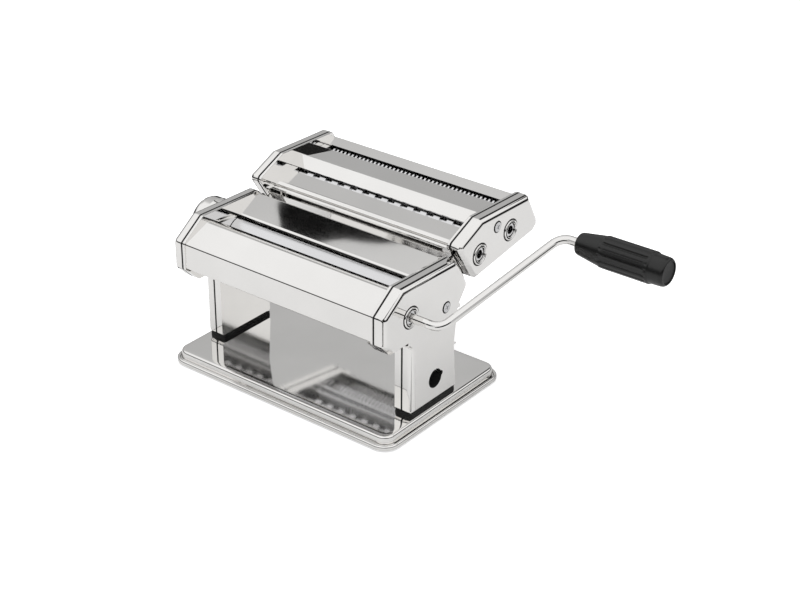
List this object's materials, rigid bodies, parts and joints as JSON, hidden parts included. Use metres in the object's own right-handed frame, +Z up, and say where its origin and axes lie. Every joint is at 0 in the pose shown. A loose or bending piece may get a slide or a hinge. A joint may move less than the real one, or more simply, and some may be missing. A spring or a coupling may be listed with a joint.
{
  "type": "pasta roller machine",
  "caption": "Hand-cranked pasta machine: two smooth rollers under a hopper, a thickness knob, a lift-off unit with wide and narrow cutting rollers, on a stamped base.",
  "frame": {"origin": "middle of the base's footprint, on the table plane under the rubber feet", "axes": "+X along the rollers towards the crank side, -Y the front where the sheet comes out, +Z up"},
  "size_m": [0.3928, 0.1996, 0.163],
  "materials": {
    "chrome": "polished chrome plate",
    "steel": "bright machined steel",
    "roller_steel": "ground and polished steel",
    "bronze": "sintered bronze",
    "black_plastic": "satin moulded",
    "rubber": "matt rubber"
  },
  "bodies": {
    "body": {"base_plate": "chrome", "rubber_feet": "rubber", "leg_pads": "rubber", "left_side_frame": "chrome", "right_side_frame": "chrome", "left_end_cap": "chrome", "right_end_cap": "chrome", "front_cover": "chrome", "rear_cover": "chrome", "tie_rods": "steel", "cap_screws": "steel", "base_screws": "steel", "drive_bushes": "bronze", "crank_socket_ring": "chrome", "front_scraper": "steel", "rear_scraper": "steel"},
    "drive": {"drive_roller": "roller_steel", "drive_gear": "steel"},
    "crank": {"crank_rod": "chrome"},
    "grip": {"crank_grip": "black_plastic", "grip_end_plug": "black_plastic"},
    "carriage": {"left_bearing_slide": "bronze", "right_bearing_slide": "bronze"},
    "rear_roller": {"adjustable_roller": "roller_steel", "driven_gear": "steel"},
    "adjuster": {"adjusting_scroll": "steel", "knob_spring": "steel"},
    "knob": {"thickness_knob": "chrome", "index_pin": "steel"},
    "cutter": {"cutter_left_frame": "chrome", "cutter_right_frame": "chrome", "cutter_left_cap": "chrome", "cutter_right_cap": "chrome", "cutter_front_deck": "chrome", "cutter_middle_deck": "chrome", "cutter_rear_deck": "chrome", "cutter_tie_rods": "steel", "cutter_screws": "steel", "cutter_bushes": "bronze", "cutter_socket_rings": "chrome", "wide_comb": "steel", "narrow_comb": "steel"},
    "wide_drive": {"wide_driver": "roller_steel", "wide_driver_gear": "steel"},
    "wide_follow": {"wide_mate": "roller_steel", "wide_mate_gear": "steel"},
    "narrow_drive": {"narrow_driver": "roller_steel", "narrow_driver_gear": "steel"},
    "narrow_follow": {"narrow_mate": "roller_steel", "narrow_mate_gear": "steel"}
  },
  "joints": [
    {"name": "drive_spin", "type": "hinge", "parent": "body", "child": "drive", "pos_m": [0, -0.039, 0.1017], "axis": [1, 0, 0], "continuous": true},
    {"name": "crank_pull", "type": "slide", "parent": "drive", "child": "crank", "axis": [1, 0, 0], "range_m": [0, 0.03]},
    {"name": "grip_spin", "type": "hinge", "parent": "crank", "child": "grip", "pos_m": [0.21, 0.0582, 0.15059], "axis": [1, 0, 0], "continuous": true},
    {"name": "knob_turn", "type": "hinge", "parent": "body", "child": "adjuster", "pos_m": [-0.11, -0.0125, 0.1017], "axis": [-1, 0, 0], "range_deg": [0, 240]},
    {"name": "knob_pull", "type": "slide", "parent": "adjuster", "child": "knob", "axis": [-1, 0, 0], "range_m": [0, 0.004], "stiffness_N_per_m": 800, "springref_m": -0.002},
    {"name": "gap_adjust", "type": "slide", "parent": "body", "child": "carriage", "axis": [0, 1, 0], "range_m": [0, 0.002]},
    {"name": "rear_spin", "type": "hinge", "parent": "carriage", "child": "rear_roller", "pos_m": [0, -0.0125, 0.1017], "axis": [1, 0, 0], "continuous": true},
    {"name": "cutter_lift", "type": "slide", "parent": "body", "child": "cutter", "axis": [0, -0.5373, 0.8434], "range_m": [0, 0.03]},
    {"name": "wide_spin", "type": "hinge", "parent": "cutter", "child": "wide_drive", "pos_m": [0, 0.0455, 0.1209], "axis": [1, 0, 0], "continuous": true},
    {"name": "wide_mate_spin", "type": "hinge", "parent": "cutter", "child": "wide_follow", "pos_m": [0, 0.06413, 0.12339], "axis": [1, 0, 0], "continuous": true},
    {"name": "narrow_spin", "type": "hinge", "parent": "cutter", "child": "narrow_drive", "pos_m": [0, 0.0859, 0.1263], "axis": [1, 0, 0], "continuous": true},
    {"name": "narrow_mate_spin", "type": "hinge", "parent": "cutter", "child": "narrow_follow", "pos_m": [0, 0.10454, 0.12879], "axis": [1, 0, 0], "continuous": true}
  ],
  "couplings": [
    {"joint": "rear_spin", "follows": "drive_spin", "ratio": -1},
    {"joint": "knob_turn", "follows": "gap_adjust", "rad_per_m": 2094},
    {"joint": "wide_mate_spin", "follows": "wide_spin", "ratio": -1},
    {"joint": "narrow_mate_spin", "follows": "narrow_spin", "ratio": -1}
  ]
}
